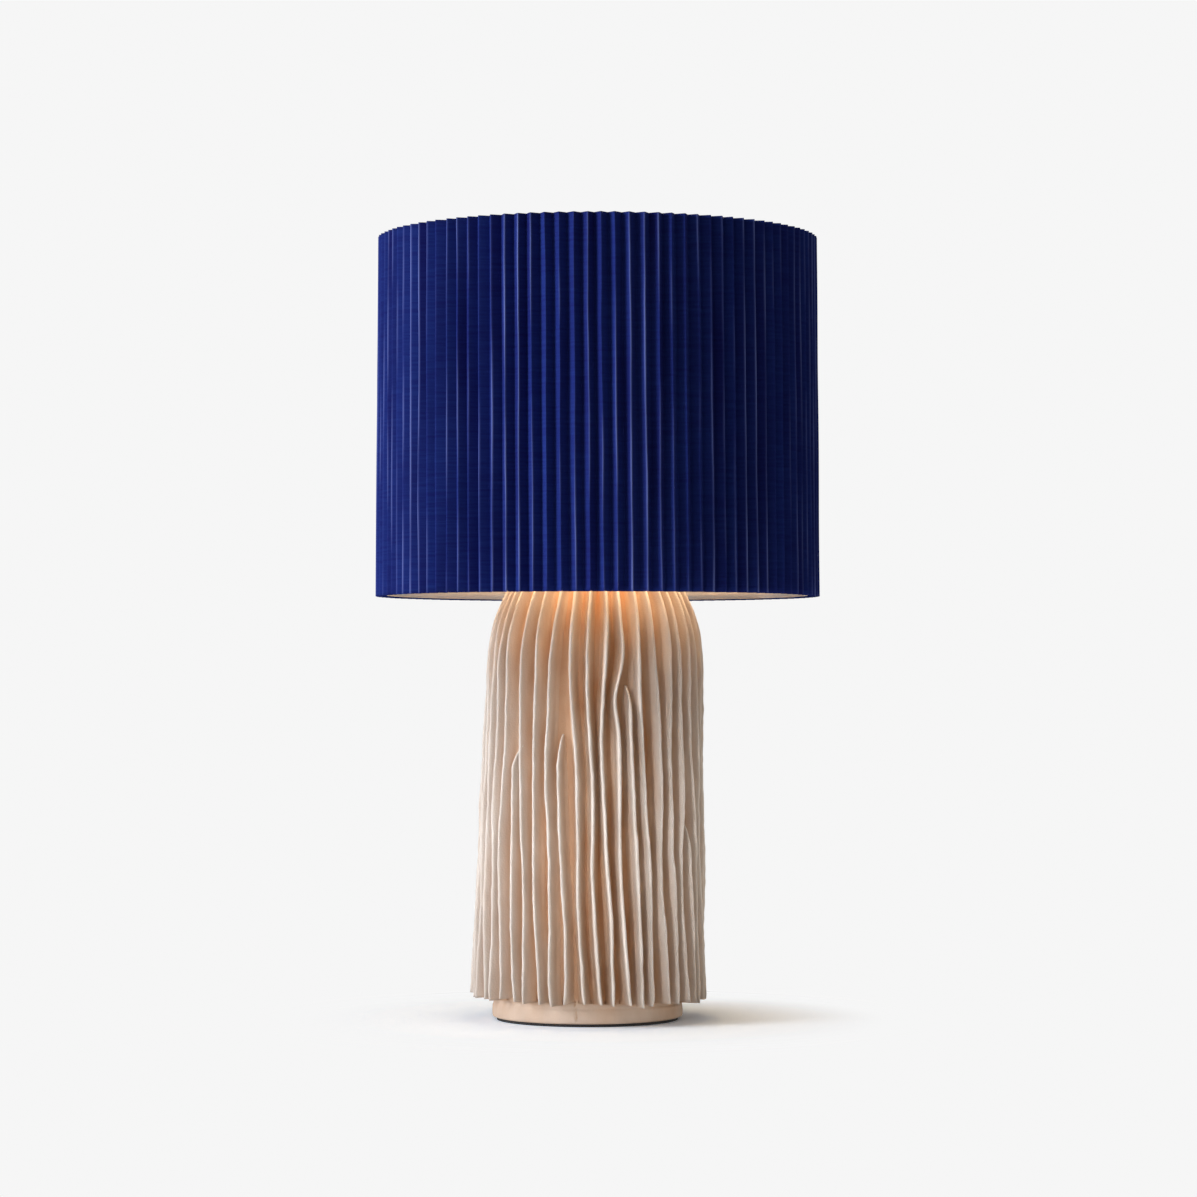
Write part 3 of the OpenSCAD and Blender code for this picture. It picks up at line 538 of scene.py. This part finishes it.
moulded, moulded_shader = mottled("moulded_black", (0.013,) * 3, (0.026,) * 3, 0.42, 0.006)
relief(moulded, moulded_shader, cloudy(moulded, 0.0007), 0.00006)
porcelain, porcelain_shader = mottled("porcelain", (0.76, 0.73, 0.67), (0.84, 0.82, 0.77), 0.2, 0.008)
porcelain_shader.inputs["Coat Weight"].default_value = 0.6
dress(moulded, "holder_cap", "holder_sleeve", "lower_shade_ring", "upper_shade_ring")
dress(porcelain, "holder_core")
dress(brass, "screw_shell", "centre_contact")
dress(zinc, "grub_screw", "terminal_screws")


# Bulb. An opal plastic globe over a light board, on a white plastic body with a nickelled screw cap.
# It is lit, with a warm light that the globe spreads.

nickel = metal_finish("nickelled_cap", (0.55, 0.55, 0.54), (0.72, 0.72, 0.71), 0.25)
white_plastic, white_plastic_shader = mottled(
    "white_plastic", (0.79, 0.79, 0.77), (0.85, 0.85, 0.83), 0.4, 0.01
)
relief(white_plastic, white_plastic_shader, cloudy(white_plastic, 0.0009), 0.00004)
black_glass, _ = mottled("black_glass", (0.008,) * 3, (0.016,) * 3, 0.12, 0.003)
opal, opal_shader = mottled("opal_globe", (0.88, 0.82, 0.73), (0.93, 0.88, 0.8), 0.45, 0.02)
opal_shader.inputs["Emission Color"].default_value = (1.0, 0.74, 0.46, 1)
opal_shader.inputs["Emission Strength"].default_value = 1.4
dress(nickel, "bulb_cap", "bulb_tip")
dress(white_plastic, "bulb_body", "led_board")
dress(black_glass, "bulb_insulator")
dress(opal, "bulb_globe")


# Shade frame. Two rings of steel wire, three arms and a pressed collar, welded up and enamelled white.
# The rings are bound in the liner's cream tape before the liner is glued on.

enamel, enamel_shader = mottled("white_enamel", (0.77, 0.76, 0.71), (0.83, 0.82, 0.79), 0.35, 0.01)
relief(enamel, enamel_shader, cloudy(enamel, 0.0012), 0.00006)
tape, tape_shader = mottled("cream_tape", (0.82, 0.755, 0.695), (0.88, 0.825, 0.77), 0.85, 0.002)
relief(tape, tape_shader, cloudy(tape, 0.0007, 2.0, (1, 1, 3)), 0.00015)
dress(enamel, "fitting_collar", "fitting_arms")
dress(tape, "bottom_ring", "top_ring")


# Liner. A smooth cream laminate, rolled into a drum and glued to the rings. It holds the pleats in shape
# and reflects the light, and its weave shows as faint level threads.

liner, liner_shader = mottled(
    "liner_cloth", (0.87, 0.80, 0.735), (0.91, 0.85, 0.79), 0.82, 0.012, stretch=(1, 1, 6)
)
relief(liner, liner_shader, cloudy(liner, 0.0008, 2.0, (0.3, 0.3, 2)), 0.0001)
dress(liner, "shade_liner")


# Pleated cover. Cobalt cloth is pressed into sharp folds, wrapped round the liner and glued at both rims.
# The creases are crisp, the folds between them bow a little, and none is quite like the next.

cover_low, cover_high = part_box("pleated_cover")
shade_z = cover_low.z / MM
shade_h = (cover_high.z - cover_low.z) / MM
crest_r = (cover_high.x - cover_low.x) / 2 / MM
shade_taper = 3.0
pleat_count = 102
pleat_depth = 6.0
pleat_drift = 0.8
crease_soft = 0.045
crease_pale_w = 0.13
rim_in = 0.15
cloth_t = 0.5

# Places across one pleat, from crest to crest, close together at the creases
pleat_steps = np.array([0.0, 0.035, 0.1, 0.22, 0.36, 0.465, 0.5, 0.535, 0.64, 0.78, 0.9, 0.965])
step_count = len(pleat_steps)
rows_up = np.linspace(0, 1, 64)


def fold_depth(t):
    """Depth under the crest at a place across the pleat, 0 at the crest and 1 in the valley."""
    away = np.abs((t + 0.5) % 1 - 0.5) * 2
    in_valley = math.sqrt(1 + crease_soft**2) - crease_soft
    return (np.sqrt(away**2 + crease_soft**2) - crease_soft) / in_valley


def wander(line, place, size):
    """A smooth irregular value up one crease line, in waves about size millimetres long."""
    return rough([(line * 3.77, 11.0 * place, up) for up in rows_up * shade_h / size], 1.0, place)


def own(line, place):
    """A steady irregular value between -1 and 1 for one crease line."""
    return math.sin(line * 12.9 + place * 4.1) * math.cos(line * 7.3 + place * 2.3)


pleats = range(pleat_count)
crest_side = [0.7 * own(k, 1) + 0.8 * wander(k, 11, 90.0) + 0.2 * wander(k, 12, 25.0) for k in pleats]
crest_in = [0.35 + 0.25 * own(k, 2) + 0.3 * wander(k, 14, 70.0) for k in pleats]
crest_wear_and_highlight = [np.clip(0.28 + 0.5 * own(k, 3) + 0.8 * wander(k, 17, 60.0), 0.02, 1) for k in pleats]
valley_side = [0.5 * wander(k, 13, 90.0) for k in pleats]
crease_wear_and_highlight = np.clip(1 - fold_depth(pleat_steps) / crease_pale_w, 0, 1) ** 1.4
cover_points = np.zeros((len(rows_up), pleat_count * step_count, 3))
crease_pale = np.zeros((len(rows_up), pleat_count * step_count))
fold_tone = np.zeros((len(rows_up), pleat_count * step_count))
for k in pleats:
    for j, t in enumerate(pleat_steps):
        # Each half of a pleat runs between its own crest and the valley
        second = t > 0.5
        crest = (k + 1) % pleat_count if second else k
        to_crest = 2 * t - 1 if second else 1 - 2 * t
        to_valley = 2 - 2 * t if second else 2 * t
        side = crest_side[crest] * to_crest + valley_side[k] * to_valley
        bow = 0.16 * math.sin(math.pi * ((2 * t) % 1)) * wander(k + 0.5 * second, 15, 60.0)
        r = crest_r - pleat_depth * fold_depth(t) - crest_in[crest] * to_crest - bow
        r = r * (1 - shade_taper / (2 * crest_r) * rows_up)
        a = np.radians(360 * (k + t) / pleat_count - pleat_drift * rows_up) + side / crest_r
        h = shade_z + rim_in + (shade_h - 2 * rim_in) * rows_up
        column = k * step_count + j
        cover_points[:, column] = np.column_stack([r * np.cos(a), r * np.sin(a), h])
        crease_pale[:, column] = crease_wear_and_highlight[j] * crest_wear_and_highlight[crest]
        half_fold = 2 * k + second
        fold_tone[:, column] = 0.55 + 0.3 * own(half_fold, 4) + 0.55 * wander(half_fold, 18, 80.0)

# Slubby cobalt yarn. Each fold took the dye a little differently, and the crests are painted pale, partly
# as wear and partly as a painted highlight along each crease.
cloth, cloth_shader = new_finish("cobalt_cloth", (0.03, 0.045, 0.24), 0.78)
cloth_shader.inputs["Specular IOR Level"].default_value = 0.03
cloth_shader.inputs["Sheen Weight"].default_value = 0.02
cloth_shader.inputs["Sheen Roughness"].default_value = 0.4
cloth_shader.inputs["Sheen Tint"].default_value = (0.45, 0.55, 1.0, 1)
slub = cloudy(cloth, 0.006, 5.0, (0.25, 0.25, 4))
cloth_tone = ramp(cloth, slub, [
    (0.3, (0.0165, 0.025, 0.182)),
    (0.5, (0.018, 0.034, 0.21)),
    (0.72, (0.0215, 0.043, 0.238)),
])
fold_tint = ramp(cloth, read_layer(cloth, "fold_tone"), [
    (0, (0.62, 0.45, 0.62)),
    (0.5, (0.84, 0.80, 0.84)),
    (1, (0.95, 1, 1)),
])
dyed = mix(cloth, cloth_tone, fold_tint)
# The pale crease colour is a painted highlight along the crests as well as wear
rubbed_and_highlit = mix(cloth, dyed, (0.20, 0.25, 0.62, 1), read_layer(cloth, "crease"), "MIX")
colour_by(cloth, cloth_shader, rubbed_and_highlit)
thread_marks = relief(cloth, cloth_shader, slub, 0.00014)
relief(cloth, cloth_shader, cloudy(cloth, 0.0006, 2.0), 0.00008, thread_marks)

cover_faces = grid_faces(len(rows_up), pleat_count * step_count)
cover = mesh_piece("folded_cloth", cover_points.reshape(-1, 3), cover_faces, cloth, "shade")
keep_layer(cover, "crease", crease_pale)
keep_layer(cover, "fold_tone", np.clip(fold_tone, 0, 1))
thicken = cover.modifiers.new("cloth_thickness", "SOLIDIFY")
thicken.thickness = cloth_t * MM
thicken.offset = -1
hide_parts("pleated_cover")


# Studio. A pale floor fades into a pale surround, and a long lens looks on from the height of the fins.
# A big soft box stands to the left front, small low ones lift the foot, and the lit bulb warms the
# inside of the shade and the dome under it.

def put_in_scene(name, data, at=(0, 0, 0)):
    """A new object of the studio, which is no part of the lamp."""
    thing = bpy.data.objects.new(name, data)
    thing.location = at
    bpy.context.scene.collection.objects.link(thing)
    return thing


def soft_light(name, bearing, away, up, aim_up, wide, high, power, spread, tint):
    """A soft box at a bearing from the front, aimed at a height on the lamp's axis."""
    lamp = bpy.data.lights.new(name, "AREA")
    lamp.shape = "ELLIPSE"
    lamp.size = wide
    lamp.size_y = high
    lamp.energy = power
    lamp.color = tint
    lamp.spread = math.radians(spread)
    a = math.radians(bearing)
    light = put_in_scene(name, lamp, (away * math.sin(a), -away * math.cos(a), up))
    to_lamp = Vector((0, 0, aim_up)) - light.location
    light.rotation_euler = to_lamp.to_track_quat("-Z", "Y").to_euler()


cool_tint = (0.96, 1.0, 1.06)
warm_tint = (1.0, 0.95, 0.86)
soft_light("key", -64, 1.9, 0.75, 0.3, 0.8, 0.8, 30, 180, (0.96, 1.0, 1.07))
for bearing, power, tint in (
    (-60, 0.035, cool_tint),
    (-25, 0.12, cool_tint),
    (15, 0.025, warm_tint),
    (60, 0.04, warm_tint),
    (95, 0.03, warm_tint),
):
    soft_light(f"low_fill_{bearing}", bearing, 1.2, 0.12, 0.12, 0.3, 0.14, power, 18, tint)

glow = bpy.data.lights.new("bulb_glow", "POINT")
glow.energy = 0.8
glow.color = (1.0, 0.76, 0.54)
glow.shadow_soft_size = 0.03
globe_low, globe_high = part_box("bulb_globe")
put_in_scene("bulb_glow", glow, (globe_low + globe_high) / 2 + Vector((0, 0, 0.02)))

# What the bulb throws down past the lampholder on to the dome
dome_light = bpy.data.lights.new("dome_light", "AREA")
dome_light.shape = "DISK"
dome_light.size = 0.15
dome_light.spread = math.radians(60)
dome_light.energy = 0.27
dome_light.color = (1.0, 0.68, 0.38)
dome_light_at = put_in_scene("dome_light", dome_light, (0, 0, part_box("holder_cap")[0].z + 0.008))
dome_light_at.visible_camera = False

# Plain dim light from all round, with the pale surround where it is seen or mirrored
surround_tone = 0.921
world = bpy.data.worlds.new("studio")
world.use_nodes = True
bpy.context.scene.world = world
sky = world.node_tree
ambient = sky.nodes["Background"]
ambient.inputs["Color"].default_value = (1, 1, 1, 1)
ambient.inputs["Strength"].default_value = 0.19
surround = sky.nodes.new("ShaderNodeBackground")
surround.inputs["Color"].default_value = (surround_tone, surround_tone, surround_tone, 1)
sky_seen = sky.nodes.new("ShaderNodeLightPath")
shown_to = sky_seen.outputs["Is Camera Ray"]
for ray in ("Is Glossy Ray", "Is Transmission Ray"):
    either = sky.nodes.new("ShaderNodeMath")
    either.operation = "MAXIMUM"
    sky.links.new(shown_to, either.inputs[0])
    sky.links.new(sky_seen.outputs[ray], either.inputs[1])
    shown_to = either.outputs[0]
sky_mix = sky.nodes.new("ShaderNodeMixShader")
sky.links.new(shown_to, sky_mix.inputs["Fac"])
sky.links.new(ambient.outputs[0], sky_mix.inputs[1])
sky.links.new(surround.outputs[0], sky_mix.inputs[2])
sky.links.new(sky_mix.outputs[0], sky.nodes["World Output"].inputs["Surface"])

floor_half = 0.9
floor_corners = [(x * floor_half, y * floor_half, 0) for x, y in ((-1, -1), (1, -1), (1, 1), (-1, 1))]
floor_mesh = bpy.data.meshes.new("floor")
floor_mesh.from_pydata(floor_corners, [], [(0, 1, 2, 3)])
floor = put_in_scene("floor", floor_mesh)

# The floor is matt, and the camera sees it a little lighter and cooler than it lights the lamp. With
# the distance from the lamp it fades into the surround, and ends there.
floor_paint, floor_shader = new_finish("pale_floor", (0.9, 0.9, 0.9), 0.9)
floor_shader.inputs["Specular IOR Level"].default_value = 0.0
floor_tree = floor_paint.node_tree
floor_seen = floor_tree.nodes.new("ShaderNodeLightPath").outputs["Is Camera Ray"]
floor_lift = floor_tree.nodes.new("ShaderNodeBsdfDiffuse")
lift_tone = mix(floor_paint, (0, 0, 0, 1), (0.27, 0.385, 0.50, 1), floor_seen, "MIX")
floor_tree.links.new(lift_tone, floor_lift.inputs["Color"])
floor_both = floor_tree.nodes.new("ShaderNodeAddShader")
floor_tree.links.new(floor_shader.outputs[0], floor_both.inputs[0])
floor_tree.links.new(floor_lift.outputs[0], floor_both.inputs[1])
floor_pale = floor_tree.nodes.new("ShaderNodeEmission")
floor_pale.inputs["Color"].default_value = (surround_tone, surround_tone, surround_tone, 1)
floor_clear = floor_tree.nodes.new("ShaderNodeBsdfTransparent")
floor_far = floor_tree.nodes.new("ShaderNodeVectorMath")
floor_far.operation = "LENGTH"
floor_tree.links.new(place_on(floor_paint), floor_far.inputs[0])
floor_shown = floor_both
for start, end, softness, over in (
    (0.07, 0.2, "SMOOTHSTEP", floor_pale),
    (0.22, 0.23, "LINEAR", floor_clear),
):
    fade = floor_tree.nodes.new("ShaderNodeMapRange")
    fade.interpolation_type = softness
    fade.inputs["From Min"].default_value = start
    fade.inputs["From Max"].default_value = end
    floor_tree.links.new(floor_far.outputs["Value"], fade.inputs["Value"])
    fade_seen = floor_tree.nodes.new("ShaderNodeMath")
    fade_seen.operation = "MULTIPLY"
    floor_tree.links.new(fade.outputs["Result"], fade_seen.inputs[0])
    floor_tree.links.new(floor_seen, fade_seen.inputs[1])
    floor_mix = floor_tree.nodes.new("ShaderNodeMixShader")
    floor_tree.links.new(fade_seen.outputs[0], floor_mix.inputs["Fac"])
    floor_tree.links.new(floor_shown.outputs[0], floor_mix.inputs[1])
    floor_tree.links.new(over.outputs[0], floor_mix.inputs[2])
    floor_shown = floor_mix
floor_tree.links.new(floor_shown.outputs[0], floor_tree.nodes["Material Output"].inputs["Surface"])
floor_mesh.materials.append(floor_paint)

# The photograph's view: lens length and the places of the lamp's axis and the horizon, in its pixels
picture_px = 1197
lens_px = 3587
axis_px = 597.4
horizon_px = 680
camera_away = 2.421
camera_up = 0.2279
camera_side = (picture_px / 2 - axis_px) * camera_away / lens_px
camera_data = bpy.data.cameras.new("camera")
camera_data.sensor_width = 36
camera_data.lens = camera_data.sensor_width * lens_px / picture_px
camera = put_in_scene("camera", camera_data, (camera_side, -camera_away, camera_up))
pitch_up = math.atan((horizon_px - picture_px / 2) / lens_px)
camera.rotation_euler = (math.pi / 2 + pitch_up, 0, 0)
bpy.context.scene.camera = camera
bpy.context.scene.view_settings.view_transform = "Standard"
